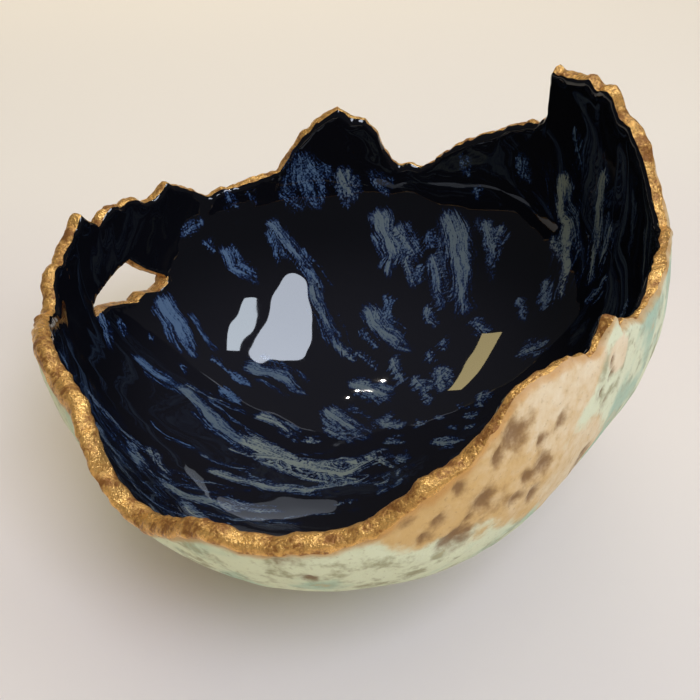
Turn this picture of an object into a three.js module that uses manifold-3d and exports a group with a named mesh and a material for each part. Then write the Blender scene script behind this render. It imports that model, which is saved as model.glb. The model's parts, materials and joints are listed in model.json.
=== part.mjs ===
// A hand-built stoneware bowl: a hollow round wall with a torn rim and one three-cornered opening.
// Millimetres. +Z is up, +X is right, -Y is the front. The origin is the middle of the flat foot.
// The wall is a lathe whose rings are pulled up to the torn rim, column by column.
import * as THREE from "three";
import { mergeVertices } from "three/addons/utils/BufferGeometryUtils.js";
import Module from "manifold-3d";

// The round body, measured on the outside.
const BELLY_RADIUS = 127; // where the bowl is widest
const BELLY_HEIGHT = 92; // level of that widest ring
const LOWER_DEPTH = 94.8; // from the belly down to the round bottom, before the foot is flattened
const UPPER_RISE = 150; // half-height of the ellipse the wall follows above the belly

// The wall.
const WALL = 7; // thickness of the side
const FLOOR = 11; // thickness at the round bottom, of which the flat foot takes 2.8
const LIP_ROUND = 2.6; // how far the rounded lip stands over the wall's two edges

// Lobes of the hand-built plan, as shares of the radius: [lobes, cosine share, sine share].
const PLAN_LOBES = [
  [2, -0.02, 0.008],
  [3, 0.018, 0.04],
  [4, 0.006, -0.003],
];

// Dents left by pinching the wall: [waves round the bowl, turn with height in radians per mm, depth].
const PINCH_WAVES = [
  [5, 0.031, 0.9],
  [8, -0.043, 0.6],
];

// The torn rim from the right side round by the back, the left and the front: [degrees, height], and
// how far the wall leans out there where it does.
const RIM = [
  [0, 119.5, 1], [5, 126, 1], [9, 134, 1], [12, 142, 1], [15, 147, 1], [18.5, 148], [20.5, 155.5],
  [22.5, 159], [26, 156], [28, 159], [31, 156.5], [34, 156.5], [36.5, 156], [38, 157.5],
  [39.2, 151], [39.8, 144], [40.4, 137], [41.6, 130.5], [44.5, 125], [48, 123], [53, 117],
  [58, 112], [62, 106], [66, 100], [68.3, 94], [71.5, 90], [74.3, 91], [77, 89], [79, 93],
  [81, 99.5], [82.3, 106.5], [85, 113.5], [88.5, 114.5], [91.7, 119.5], [95, 116], [98, 110],
  [101, 104], [103.7, 95.5], [106, 88], [109.5, 84.5], [115, 81.5], [121, 80.5], [124, 78.5],
  [127, 84], [131, 88.5], [133, 92.5], [135.5, 88], [140, 87], [143.5, 91.5], [147, 91],
  [149.5, 94.5], [154.5, 90, 1], [158.5, 100, 2.5], [162, 94, 3], [166, 91, 2.5], [170, 89, 2],
  [174, 90.5, 2], [178, 86, 2], [182, 81, 2], [187, 86, 2], [193, 90.5, 1], [205, 97, 0],
  [212, 92, -3], [219, 91, -5], [225, 86, -2.5], [229, 79, 0.5], [234, 69, 2], [239, 68, 2],
  [244, 75, 1], [250, 83], [254, 85.5], [259, 85], [264, 88], [269, 90], [274, 94], [278, 101],
  [281, 105.5], [284, 107], [288, 112], [291, 117], [294, 122], [299, 125], [306, 123.5],
  [311, 121], [313.5, 123], [315, 130.5], [318, 123], [322, 123], [327, 117.5], [332, 116.5],
  [337, 119], [342, 122], [350, 121],
];

// The opening in the back left wall: where its cutter points, the middle of the cut on the inside
// face, and its outline there as [along the wall, up].
const OPENING_TURN = 153; // degrees round from +X
const OPENING_DIP = 11; // degrees below level, pointing out
const OPENING_MIDDLE = [-102, 50, 58];
const OPENING_OUTLINE = [
  [-9, 10.5], [-15.5, 2], [-23.5, -5.5], [-21, -8], [-14.5, -9], [-7, -6], [0.5, -7],
  [8, -3.5], [18, 0.5], [29, 1.5], [25.5, 5.5], [20.5, 7], [12.5, 8], [0.5, 10],
];
const OPENING_REACH = 22; // half the cutter's length, well past both faces of the wall

// Fineness of the mesh.
const COLUMNS = 168;
const OUTER_ROWS = 12;
const LIP_ROWS = 3;
const INNER_ROWS = 10;

const radians = THREE.MathUtils.degToRad;
const lerp = THREE.MathUtils.lerp;

// Outside radius of the belly in one direction, with the lobes of the plan.
function bellyRadius(angle) {
  let share = 1;
  for (const [lobes, cosine, sine] of PLAN_LOBES) {
    share += cosine * Math.cos(lobes * angle) + sine * Math.sin(lobes * angle);
  }
  return BELLY_RADIUS * share;
}

// How far the wall is pushed in or out by hand at one place.
function pinch(angle, height) {
  let push = 0;
  for (const [waves, turn, depth] of PINCH_WAVES) {
    push += depth * Math.sin(waves * angle + turn * height);
  }
  return push;
}

// Angle up the body's ellipse, from the round bottom, at which the outside reaches a height.
function climbTo(height) {
  const rise = height < BELLY_HEIGHT ? LOWER_DEPTH : UPPER_RISE;
  return Math.acos((BELLY_HEIGHT - height) / rise);
}

// A point of the wall: direction round the bowl, angle up the ellipse, depth in from the outside as a
// share of the thickness, and how far it leans out.
function wallPoint(angle, climb, depth, lean = 0) {
  const rise = climb < Math.PI / 2 ? LOWER_DEPTH : UPPER_RISE;
  const down = Math.cos(climb);
  const thickness = depth * lerp(WALL, FLOOR, Math.max(down, 0) ** 2);
  const height = BELLY_HEIGHT - (rise - thickness) * down;
  const out = bellyRadius(angle) - thickness + pinch(angle, height) + lean;
  const radius = out * Math.sin(climb);
  return new THREE.Vector3(radius * Math.cos(angle), radius * Math.sin(angle), height);
}

// The columns of the rim, evenly spaced along the torn edge: {angle, climb, lean} for each.
function rimColumns() {
  const [first] = RIM;
  const closed = [...RIM, [360 + first[0], first[1], first[2]]];
  const unrolled = closed.map(([degrees, height, lean = 0]) => {
    return new THREE.Vector3(radians(degrees) * BELLY_RADIUS, height, lean);
  });
  const edge = new THREE.CatmullRomCurve3(unrolled, false, "centripetal");
  return edge.getSpacedPoints(COLUMNS).map(({ x, y, z }) => {
    return { angle: x / BELLY_RADIUS, climb: climbTo(y - LIP_ROUND), lean: z };
  });
}

// The rows of the lathe's closed profile, from the middle of the foot over the lip to the middle of
// the floor: the side a row is on and its share of the way up that side.
function profileRows() {
  const rows = [{ side: "foot", share: 0 }];
  for (let i = 0; i <= OUTER_ROWS; i += 1) {
    rows.push({ side: "outside", share: i / OUTER_ROWS });
  }
  for (let i = 1; i <= LIP_ROWS; i += 1) {
    rows.push({ side: "lip", share: i / (LIP_ROWS + 1) });
  }
  for (let i = INNER_ROWS; i >= 0; i -= 1) {
    rows.push({ side: "inside", share: i / INNER_ROWS });
  }
  return rows;
}

// Where one row of one column stands.
function place(row, column, even) {
  if (row.side === "foot") {
    return new THREE.Vector3(0, 0, 0);
  }
  if (row.side === "lip") {
    const outer = wallPoint(column.angle, column.climb, 0, column.lean);
    const inner = wallPoint(column.angle, column.climb, 1, column.lean);
    const upward = wallPoint(column.angle, column.climb + 0.02, 0.5);
    upward.sub(wallPoint(column.angle, column.climb, 0.5)).normalize();
    const turn = row.share * Math.PI;
    const across = (1 - Math.cos(turn)) / 2;
    return outer.lerp(inner, across).addScaledVector(upward, LIP_ROUND * Math.sin(turn));
  }
  const angle = lerp(even, column.angle, row.share ** 2);
  const lean = column.lean * row.share ** 3;
  if (row.side === "outside") {
    return wallPoint(angle, lerp(climbTo(0), column.climb, row.share), 0, lean);
  }
  return wallPoint(angle, column.climb * row.share, 1, lean);
}

// The whole wall as one closed lathe, before the opening is cut.
function wallGeometry() {
  const rows = profileRows();
  const columns = rimColumns();
  const profile = rows.map((row) => {
    const point = place(row, columns[0], 0);
    return new THREE.Vector2(Math.hypot(point.x, point.y), point.z);
  });
  const lathe = new THREE.LatheGeometry(profile, COLUMNS);
  const position = lathe.getAttribute("position");
  columns.forEach((column, c) => {
    const even = (c / COLUMNS) * 2 * Math.PI;
    rows.forEach((row, r) => {
      const point = place(row, column, even);
      position.setXYZ(c * rows.length + r, point.x, point.y, point.z);
    });
  });
  return lathe;
}

// The cutter of the opening: its outline drawn out along the direction in which it was torn through.
function openingGeometry() {
  const outline = new THREE.Shape(OPENING_OUTLINE.map(([x, y]) => new THREE.Vector2(x, y)));
  const prism = new THREE.ExtrudeGeometry(outline, {
    depth: 2 * OPENING_REACH,
    bevelEnabled: false,
  });
  const turn = radians(OPENING_TURN);
  const dip = radians(OPENING_DIP);
  const outward = new THREE.Vector3(
    Math.cos(turn) * Math.cos(dip),
    Math.sin(turn) * Math.cos(dip),
    -Math.sin(dip),
  );
  const along = new THREE.Vector3(-Math.sin(turn), Math.cos(turn), 0);
  const up = new THREE.Vector3().crossVectors(outward, along);
  const frame = new THREE.Matrix4().makeBasis(along, up, outward);
  frame.setPosition(...OPENING_MIDDLE);
  return prism.translate(0, 0, -OPENING_REACH).applyMatrix4(frame);
}

const wasm = await Module();
wasm.setup();

// A geometry as a solid for cutting.
function solidOf(geometry) {
  const bare = geometry.clone();
  bare.deleteAttribute("normal");
  bare.deleteAttribute("uv");
  const merged = mergeVertices(bare, 1e-4);
  return new wasm.Manifold(
    new wasm.Mesh({
      numProp: 3,
      vertProperties: merged.getAttribute("position").array,
      triVerts: new Uint32Array(merged.index.array),
    }),
  );
}

// A solid as a geometry for drawing.
function geometryOf(solid) {
  const mesh = solid.getMesh();
  const geometry = new THREE.BufferGeometry();
  geometry.setAttribute("position", new THREE.BufferAttribute(mesh.vertProperties, 3));
  geometry.setIndex(new THREE.BufferAttribute(mesh.triVerts, 1));
  geometry.computeVertexNormals();
  return geometry;
}

const bowl = new THREE.Mesh(
  geometryOf(solidOf(wallGeometry()).subtract(solidOf(openingGeometry()))),
  new THREE.MeshStandardMaterial({ color: 0x10131a, roughness: 0.2 }),
);
bowl.name = "bowl";

const part = new THREE.Group();
part.name = "hand_built_bowl";
part.add(bowl);

export default part;
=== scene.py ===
"""The looks of a hand-built stoneware bowl with a torn, gilded rim.

Metres, +Z up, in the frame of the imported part. The wall follows the same driving sizes as the solid,
with the crust of the rim, the pits of the slip and the streaks of the glaze added on it.
"""

import json
import math
import random

import bmesh
import bpy
import numpy as np
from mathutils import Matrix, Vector, noise
from mathutils.bvhtree import BVHTree

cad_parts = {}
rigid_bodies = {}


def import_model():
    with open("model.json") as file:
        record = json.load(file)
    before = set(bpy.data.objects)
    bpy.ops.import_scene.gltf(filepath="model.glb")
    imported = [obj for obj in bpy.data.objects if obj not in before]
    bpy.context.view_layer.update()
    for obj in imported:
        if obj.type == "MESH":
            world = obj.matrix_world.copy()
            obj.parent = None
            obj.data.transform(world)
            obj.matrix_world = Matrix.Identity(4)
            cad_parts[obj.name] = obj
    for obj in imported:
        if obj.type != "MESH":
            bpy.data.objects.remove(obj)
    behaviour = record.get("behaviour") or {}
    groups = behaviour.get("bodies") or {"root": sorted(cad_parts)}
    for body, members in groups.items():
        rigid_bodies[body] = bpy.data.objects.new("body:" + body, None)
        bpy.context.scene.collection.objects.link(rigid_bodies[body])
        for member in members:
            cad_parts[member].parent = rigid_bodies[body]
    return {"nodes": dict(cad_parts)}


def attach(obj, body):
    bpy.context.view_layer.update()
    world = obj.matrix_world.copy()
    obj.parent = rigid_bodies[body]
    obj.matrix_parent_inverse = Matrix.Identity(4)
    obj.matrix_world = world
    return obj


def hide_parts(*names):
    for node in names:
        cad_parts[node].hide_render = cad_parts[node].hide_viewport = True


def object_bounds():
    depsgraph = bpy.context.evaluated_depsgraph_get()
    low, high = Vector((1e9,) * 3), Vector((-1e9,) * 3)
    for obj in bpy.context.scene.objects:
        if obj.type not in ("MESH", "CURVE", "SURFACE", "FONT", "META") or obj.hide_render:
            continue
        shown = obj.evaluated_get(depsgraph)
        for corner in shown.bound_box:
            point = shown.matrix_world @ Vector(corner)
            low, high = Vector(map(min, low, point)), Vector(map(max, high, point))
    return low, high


bl_info = {
    "name": "Hand-built stoneware bowl",
    "version": (1, 0, 0),
    "blender": (4, 5, 0),
    "location": "3D View > Sidebar > Bowl",
    "description": "Makes a glazed, gilded stoneware bowl and a plain studio stage for it",
    "category": "Add Mesh",
}

for leftover in list(bpy.data.objects):
    bpy.data.objects.remove(leftover)
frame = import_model()
CAD_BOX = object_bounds()

MM = 0.001

# The camera of the view, and the square picture whose pixels place the marks below.
PICTURE_SIDE = 700
FOCAL_PIXELS = 900
SENSOR_MM = 36
CAMERA_AIM = Vector((0.0026, 0, 0.0585))
CAMERA_DISTANCE = 0.382
CAMERA_HEIGHT_DEGREES = 36
MIRROR_PATCH = 12  # pixels to each side of a reflection over which the glaze's slope is averaged

# Lobes of the hand-built plan, as shares of the radius: lobes, cosine share, sine share.
PLAN_LOBES = [(2, -0.02, 0.008), (3, 0.018, 0.04), (4, 0.006, -0.003)]

# Dents left by pinching the wall: waves round the bowl, turn with height in radians per mm, depth in mm.
PINCH_WAVES = [(5, 0.031, 0.9), (8, -0.043, 0.6)]

# The torn rim from the right side round by the back, the left and the front: degrees, height in mm and
# how far the wall leans out there, in mm, where it does.
RIM = [
    (0, 119.5, 1), (5, 126, 1), (9, 134, 1), (12, 142, 1), (15, 147, 1), (18.5, 148), (20.5, 155.5),
    (22.5, 159), (26, 156), (28, 159), (31, 156.5), (34, 156.5), (36.5, 156), (38, 157.5),
    (39.2, 151), (39.8, 144), (40.4, 137), (41.6, 130.5), (44.5, 125), (48, 123), (53, 117),
    (58, 112), (62, 106), (66, 100), (68.3, 94), (71.5, 90), (74.3, 91), (77, 89), (79, 93),
    (81, 99.5), (82.3, 106.5), (85, 113.5), (88.5, 114.5), (91.7, 119.5), (95, 116), (98, 110),
    (101, 104), (103.7, 95.5), (106, 88), (109.5, 84.5), (115, 81.5), (121, 80.5), (124, 78.5),
    (127, 84), (131, 88.5), (133, 92.5), (135.5, 88), (140, 87), (143.5, 91.5), (147, 91),
    (149.5, 94.5), (154.5, 90, 1), (158.5, 100, 2.5), (162, 94, 3), (166, 91, 2.5), (170, 89, 2),
    (174, 90.5, 2), (178, 86, 2), (182, 81, 2), (187, 86, 2), (193, 90.5, 1), (205, 97, 0),
    (212, 92, -3), (219, 91, -5), (225, 86, -2.5), (229, 79, 0.5), (234, 69, 2), (239, 68, 2),
    (244, 75, 1), (250, 83), (254, 85.5), (259, 85), (264, 88), (269, 90), (274, 94), (278, 101),
    (281, 105.5), (284, 107), (288, 112), (291, 117), (294, 122), (299, 125), (306, 123.5),
    (311, 121), (313.8, 122.5), (315.2, 127.5), (316, 130), (317, 129.5), (318, 126), (319.2, 123),
    (322, 123), (327, 117.5), (332, 116.5), (337, 119), (342, 122), (350, 121), (360, 119.5, 1),
]

# How far the gold reaches over the lip's crown: degrees, mm down the outside, mm down the inside.
GOLD_REACH = [
    (0, 2, 1.6), (18, 3, 1.4), (24, 3, 2.4), (38, 3, 2), (45, 4, 0.8), (75, 4, 1.4), (80, 4, 0.6),
    (90, 4, 0.6), (94, 4, 1.8), (104, 4.3, 2.8), (113, 4.6, 2.6), (122, 4.7, 1.4), (150, 5, 2.2),
    (180, 6, 2.6), (215, 7, 4.5), (240, 6, 5), (255, 5, 4.5), (270, 5.5, 4.5), (285, 4, 3.2),
    (296, 1, 2), (311, 0.5, 1.6), (316, 1.2, 2.2), (320, 0.6, 1.7), (332, 1, 1.6), (360, 2, 1.6),
]

# The opening in the back left wall: where it points, its middle on the inside face, and its outline
# there in mm as along the wall and up.
OPENING_TURN = 153
OPENING_DIP = 11
OPENING_MIDDLE = Vector((-0.102, 0.050, 0.058))
OPENING_OUTLINE = [
    (-9, 10.5), (-15.5, 2), (-23.5, -5.5), (-21, -8), (-14.5, -9), (-7, -6), (0.5, -7),
    (8, -3.5), (18, 0.5), (29, 1.5), (25.5, 5.5), (20.5, 7), (12.5, 8), (0.5, 10),
]
OPENING_REACH = 0.022
OPENING_HALF_BOX = (0.04, 0.02)  # along the wall and up, past which no face is looked at
OPENING_ROUND = 0.0009
OPENING_RIPPLE = 0.0035  # size of the ripples of its edge
OPENING_MERGE = 0.0004  # corners of the mesh closer than this on its edge become one

# Streaks of the glaze as they are seen in the picture: pixels from head to tail, width in mm, tone
# from 0, blue, over 0.5, grey, to 1, grey green, and strength.
STREAKS = [
    ([(165, 302), (178, 322), (196, 352)], 10, 0.15, 1),
    ([(138, 359), (160, 374), (183, 390)], 6, 0.15, 0.9),
    ([(183, 390), (209, 415), (237, 437), (270, 451)], 8, 0.4, 0.95),
    ([(250, 441), (270, 451), (303, 465), (340, 470), (384, 456)], 12, 1, 0.88),
    ([(262, 456), (290, 459), (322, 462), (352, 459), (382, 450)], 6, 1, 0.85),
    ([(275, 463), (306, 477), (338, 483), (366, 474)], 5, 0.9, 0.8),
    ([(225, 390), (237, 400)], 5, 0.15, 0.8),
    ([(213, 359), (228, 368)], 2.4, 0.15, 0.7),
    ([(235, 373), (246, 383)], 5, 0.15, 0.8),
    ([(254, 368), (280, 376), (303, 391)], 8, 0.35, 0.9),
    ([(261, 415), (280, 421), (298, 434)], 5, 0.9, 0.9),
    ([(214, 471), (240, 481), (275, 488), (303, 489), (340, 485)], 6, 0.8, 0.85),
    ([(168, 486), (185, 497), (228, 507), (277, 512)], 9, 0.65, 0.78),
    ([(161, 479), (199, 488), (237, 498)], 4, 0.3, 0.58),
    ([(63, 357), (67, 364)], 5, 0.1, 0.7),
    ([(84, 386), (99, 404), (114, 420), (140, 445), (166, 466)], 3, 0.4, 0.85),
    ([(100, 315), (106, 332), (113, 350)], 3.4, 0.15, 0.8),
    ([(121, 321), (125, 333)], 4, 0.1, 0.55),
    ([(152, 336), (155, 341)], 3, 0.1, 0.6),
    ([(183, 363), (186, 371)], 3, 0.15, 0.65),
    ([(225, 250), (232, 267), (256, 279)], 6, 0.15, 0.9),
    ([(207, 243), (214, 248)], 4, 0.1, 0.6),
    ([(186, 228), (197, 222)], 6, 0.15, 0.6),
    ([(230, 196), (236, 206)], 6, 0.1, 0.5),
    ([(252, 194), (257, 198)], 4, 0.1, 0.45),
    ([(281, 196), (299, 206)], 5.4, 0.1, 0.55),
    ([(304, 170), (309, 181), (315, 192)], 16.8, 0.15, 0.66),
    ([(341, 174), (345, 184), (352, 198)], 7.8, 0.5, 0.8),
    ([(375, 176), (388, 190)], 7.2, 0.25, 0.5),
    ([(271, 223), (286, 240), (306, 262), (320, 285)], 6, 0.25, 0.85),
    ([(268, 236), (281, 260)], 2.9, 0.1, 0.8),
    ([(313, 287), (324, 318), (343, 355)], 6, 0.4, 0.75),
    ([(381, 217), (389, 240), (397, 256), (391, 271)], 10.5, 0.5, 0.9),
    ([(399, 228), (410, 245), (418, 255)], 7.2, 0.5, 0.8),
    ([(407, 262), (415, 283)], 6, 0.5, 0.75),
    ([(430, 234), (434, 243)], 4.8, 0.25, 0.6),
    ([(452, 227), (460, 256), (466, 306)], 15.6, 0.5, 0.9),
    ([(432, 256), (438, 278), (445, 302)], 4.8, 0.5, 0.85),
    ([(486, 226), (490, 241), (495, 258)], 7.2, 0.5, 0.8),
    ([(502, 228), (495, 244)], 4.8, 0.5, 0.7),
    ([(464, 163), (468, 170)], 6, 0.25, 0.5),
    ([(475, 188), (478, 196)], 3.6, 0.25, 0.6),
    ([(521, 160), (527, 179)], 6, 0.25, 0.5),
    ([(573, 127), (578, 148), (582, 170)], 3.6, 0.25, 0.65),
    ([(563, 182), (561, 217), (567, 251), (559, 294)], 8.4, 0.9, 0.95),
    ([(552, 238), (559, 258)], 3.6, 0.8, 0.75),
    ([(605, 177), (598, 212), (595, 240), (587, 280)], 7.2, 0.8, 0.85),
    ([(612, 227), (604, 250), (595, 274)], 4.3, 0.75, 0.75),
    ([(606, 279), (597, 291), (587, 305)], 3.6, 0.5, 0.7),
    ([(546, 281), (542, 311)], 4.3, 0.5, 0.8),
    ([(518, 300), (521, 322)], 3.1, 0.5, 0.75),
    ([(522, 353), (533, 345), (546, 340)], 5.8, 0.65, 0.65),
    ([(626, 300), (620, 313)], 3.6, 0.5, 0.6),
    ([(386, 300), (389, 309)], 4.8, 0.25, 0.7),
    ([(427, 307), (432, 325)], 4.3, 0.5, 0.8),
    ([(443, 340), (445, 348)], 3.9, 0.4, 0.65),
    ([(429, 354), (432, 361)], 4.1, 0.4, 0.7),
    ([(371, 314), (385, 331), (406, 349)], 9.6, 0.5, 0.9),
    ([(396, 362), (402, 383)], 3.9, 0.65, 0.85),
    ([(440, 374), (444, 384)], 10.3, 0.65, 0.75),
    ([(414, 379), (424, 392)], 5.3, 0.65, 0.8),
    ([(357, 383), (372, 388), (388, 395)], 8, 0.65, 0.9),
    ([(356, 353), (376, 367)], 2.3, 0.4, 0.75),
    ([(341, 348), (352, 359)], 3.4, 0.65, 0.75),
    ([(331, 411), (345, 421), (362, 433)], 9.2, 0.65, 0.85),
    ([(327, 430), (350, 440)], 4.1, 0.65, 0.69),
    ([(308, 438), (317, 441)], 3.6, 0.9, 0.69),
    ([(383, 424), (401, 425)], 8, 0.65, 0.8),
    ([(416, 421), (421, 423)], 3.9, 0.65, 0.7),
    ([(387, 442), (400, 442)], 4.6, 0.65, 0.65),
    ([(437, 441), (454, 440)], 6.2, 0.65, 0.75),
    ([(397, 458), (408, 457)], 4.6, 0.65, 0.65),
    ([(439, 416), (447, 416)], 3.4, 0.65, 0.7),
    ([(469, 415), (475, 413)], 3.9, 0.65, 0.65),
    ([(466, 426), (470, 424)], 3.4, 0.65, 0.65),
    ([(451, 428), (455, 427)], 2.8, 0.4, 0.6),
    ([(481, 394), (483, 404)], 5.1, 0.65, 0.7),
    ([(426, 396), (432, 398)], 3.7, 0.65, 0.7),
    ([(459, 404), (466, 406)], 3.4, 0.4, 0.5),
    ([(476, 325), (491, 327)], 6, 0.5, 0.6),
    ([(375, 493), (395, 482), (414, 468)], 2.4, 0.7, 0.69),
    ([(380, 483), (396, 473), (410, 464)], 2, 0.8, 0.69),
    ([(378, 460), (390, 464)], 3.4, 1, 0.73),
    ([(334, 503), (362, 499)], 2.6, 0.8, 0.6),
    ([(285, 519), (325, 514), (360, 508)], 2.2, 0.6, 0.56),
    ([(200, 455), (225, 466), (262, 473)], 2.4, 0.5, 0.6),
    ([(140, 478), (158, 494)], 4, 0.1, 0.5),
    ([(122, 455), (132, 470)], 3, 0, 0.5),
    ([(140, 490), (165, 508), (200, 520)], 5, 0.3, 0.5),
    ([(185, 383), (215, 398), (245, 410)], 3, 0.6, 0.65),
    ([(228, 446), (262, 462), (300, 474), (345, 478)], 2.6, 0.9, 0.65),
    ([(176, 470), (205, 482), (250, 492)], 2, 0.6, 0.6),
    ([(150, 420), (180, 440), (215, 462)], 2, 0.1, 0.6),
    ([(190, 510), (240, 520), (300, 524)], 3, 0.5, 0.56),
    ([(95, 405), (130, 450), (180, 490), (240, 512)], 26, 0, 0.28),
    ([(60, 350), (85, 395), (118, 440)], 16, 0, 0.3),
    ([(560, 180), (575, 240), (560, 300)], 30, 0.2, 0.26),
]
STREAK_SEED = 11
STREAK_STEPS = (0, 0.25, 0.5, 0.75)  # where each stretch between two pixels is laid on the wall
BOWL_MIDDLE = np.array((0, 0, 0.110))  # from which the wall's outward direction is reckoned

# Thinner strands beside the streaks: their number, and their ranges as shares of the streak's own values.
STRANDS = 3
LONG_STREAK = 0.012  # metres from head to tail, below which a dab has only one strand
STRAND_WIDTH = 0.4
STRAND_TONE = 0.6
STRAND_SHIFT = (0.5, 1.0)
STRAND_SLIDE = (-0.2, 0.35)
STRAND_LENGTH = (0.35, 0.8)
STRAND_STRENGTH = (0.6, 0.85)

# Streaks on the front wall's inside, which the picture doesn't show: their number, and the ranges of where
# they start round the bowl, their climb, turn and drop in radians, their width in mm and their strength.
HIDDEN_STREAKS = 46
HIDDEN_STREAK_DEGREES = (205, 335)
HIDDEN_STREAK_CLIMB = (0.75, 1.45)
HIDDEN_STREAK_TURN = (0.10, 0.34)
HIDDEN_STREAK_DROP = (-0.05, 0.12)
HIDDEN_STREAK_WIDTH = (2, 7)
HIDDEN_STREAK_STRENGTH = (0.6, 0.95)
HIDDEN_STREAK_POINTS = 7

# How a streak lies. It narrows and fades to its tail, and its fibres fan out. Lengths are in metres, and
# the rest are shares of the streak's width, strength or length.
DAB_LENGTH = 0.004  # up to which a streak is a dab
STROKE_GROWTH = 0.020  # longer than a dab by this, it is a full stroke
FIBRE_RUN = 0.020  # length of a streak whose fibres are drawn at their own length
STREAK_MARGIN = 0.008
HEAD_WIDTH = 1.05
TAIL_NARROWING = 0.25
TAIL_FADE = 0.55
FADE_START = 0.4
FADE_CURVE = 1.5
EDGE_REACH = 1.35
DAB_SOFTNESS = 0.45
STROKE_SOFTNESS = 0.5
FAN_LENGTHS = 1.5  # of the streak, over which its fibres spread to twice their width
FAN_LEAST = 0.5

# Pits of the slip that the picture shows: pixel and radius in mm.
PITS_SEEN = [
    (515, 434, 4.6), (545, 464, 3.2), (485, 503, 3.6), (460, 488, 2.4), (517, 500, 2.6), (533, 496, 2.2),
    (440, 522, 2.4), (456, 540, 4.4), (586, 452, 2.6), (576, 468, 2.2), (401, 521, 2.8), (543, 440, 1.8),
    (564, 418, 1.8), (606, 405, 1.6), (604, 392, 1.4), (614, 360, 1.2), (612, 378, 1.2), (527, 478, 2),
    (500, 456, 1.6), (424, 540, 2.2), (470, 520, 1.6),
]
PIT_SPREAD = 1.5  # a pit's slope over its dark middle
PIT_STEEPNESS = 1.5
PIT_SEED = 7

# Pits on the sides that the picture doesn't show: number, smallest and largest radius in mm, and where.
HIDDEN_PITS = 110
HIDDEN_PIT_RADII = (1.6, 6.0)
HIDDEN_DEGREES = (-10, 268)
HIDDEN_HEIGHTS = (0.010, 0.095)

# Where the slip is cream to tan rather than pale green: pixel, reach in mm and share of tan, then the
# same for the sides that the picture doesn't show, with degrees and height in mm for the pixel.
CREAM_SEEN = [
    (540, 420, 26, 0.35), (485, 480, 24, 0.9), (565, 380, 20, 0.1), (425, 512, 16, 1), (575, 460, 16, 0.3),
    (620, 356, 7, 0), (526, 490, 15, 0.8), (552, 478, 11, 0.6),
]
CREAM_HIDDEN = [
    (28, 95, 24, 0.3), (62, 40, 30, 0.8), (118, 60, 26, 0.2), (165, 30, 24, 0.7), (196, 66, 20, 0.4),
    (228, 40, 22, 0.8),
]
CREAM_END = 1.5  # of the reach, where the cream has faded out
RIM_STAIN_FALL = 220.0  # how fast the stain under the gold fades, per metre

# Random swells in layers: height, which is in metres where nothing else is said, and size across in metres.
CRUMB_LUMPS = [(1.3, 0.008), (1.1, 0.0035)]  # heights are shares of the crust's
CRUST_LUMPS = [(0.5, 0.007), (0.6, 0.0034)]  # heights are shares of the crust's
SWELL_LUMPS = [(1, 0.040), (0.15, 0.018)]  # heights are shares of the swell's
PIT_LUMPS = [(0.6, 0.007)]  # the height is a share of a pit's radius
SLIP_LUMPS = [(0.0005, 0.017), (0.00025, 0.006)]
LIP_LUMPS = [(0.0009, 0.011)]
SWIRL_LUMPS = [(0.0024, 0.013), (0.0012, 0.006)]
SWIRL_SHIFTS = (0, 0.3, 0.6)  # far enough apart to give three unlike patterns

# How far the gold's two edges wander, and the layers of that wander, with heights as shares of it.
WANDER_OUTSIDE = 0.0014
WANDER_INSIDE = 0.0009
GOLD_WANDER = [(1, 0.009), (0.6, 0.004)]

# Metres from the gold over which each relief rises or fades.
SLIP_RISE = 0.004
GLAZE_RISE = 0.012
LIP_FADE = 0.014
CRUST_FADE_OUTSIDE = 0.005
CRUST_FADE_INSIDE = 0.004
CRUMB_FADE = 0.005
FOOT_RISE = 0.006  # height over the foot by which the slip's relief is whole

# The stage: the floor's size, the turn of its tone's line in degrees and how far the tone fades to each
# side of it, and the point that the lights aim at.
FLOOR_HALF = 6
FLOOR_TURN = -8
FLOOR_FADE = 0.12
LIGHTS_AIM = (0, 0, 0.06)

# Square lights of the matt surfaces, named for their power in the stage's settings: place, side in metres
# and tint.
STUDIO_LIGHTS = [
    ("key", (0.57, -0.99, 1.70), 1.0, "#dbdfff"),
    ("fill", (-0.34, -1.90, 0.58), 1.0, "#ffe795"),
    ("back_fill", (-0.34, 1.90, 0.58), 2.0, "#ffecca"),
    ("side", (1.75, -0.25, 0.80), 1.2, "#fff6e6"),
    ("top", (0.17, 0, 2.05), 2.0, "#fffdd2"),
]

# Softboxes that are seen in the glaze: shape, the pixel of the reflection, distance, size, roll in
# degrees, watts and tint.
SOFTBOXES = [
    ("broad softbox", "ELLIPSE", (291, 311), 0.66, (0.544, 0.155), 13.6, 2.6, "#e6efff"),
    ("narrow softbox", "RECTANGLE", (243, 323), 0.75, (0.26, 0.038), -2.4, 0.4, "#e6f2ff"),
    ("warm softbox", "RECTANGLE", (475, 360), 0.9, (0.34, 0.07), 6, 0.5, "#ffe8a6"),
    ("first spot", "RECTANGLE", (380, 380), 0.9, (0.006, 0.005), 0, 0.12, "#fff4e6"),
    ("second spot", "RECTANGLE", (363, 391), 0.9, (0.006, 0.005), 0, 0.12, "#fff4e6"),
    ("third spot", "RECTANGLE", (349, 399), 0.9, (0.006, 0.005), 0, 0.12, "#fff4e6"),
]

# The world's strength, and its dimmer strength in reflections, which keeps the glaze black.
WORLD_TINT = "#f8f8ff"
WORLD_GLOW = 0.25
WORLD_SHINE = 0.07

# Fineness of the mesh, and how much closer its rows lie near the gold than away from it.
COLUMNS = 576
OUTSIDE_ROWS = 60
GOLD_ROWS = 14
INSIDE_ROWS = 80
OPENING_ROWS = 5
OUTSIDE_CROWDING = 1.25
INSIDE_CROWDING = 1.12
SMALL_CLIMB = 0.02  # radians, for the direction up the wall at the rim

# The materials, in their order on the mesh.
GLAZE, GOLD, SLIP = range(3)

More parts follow.
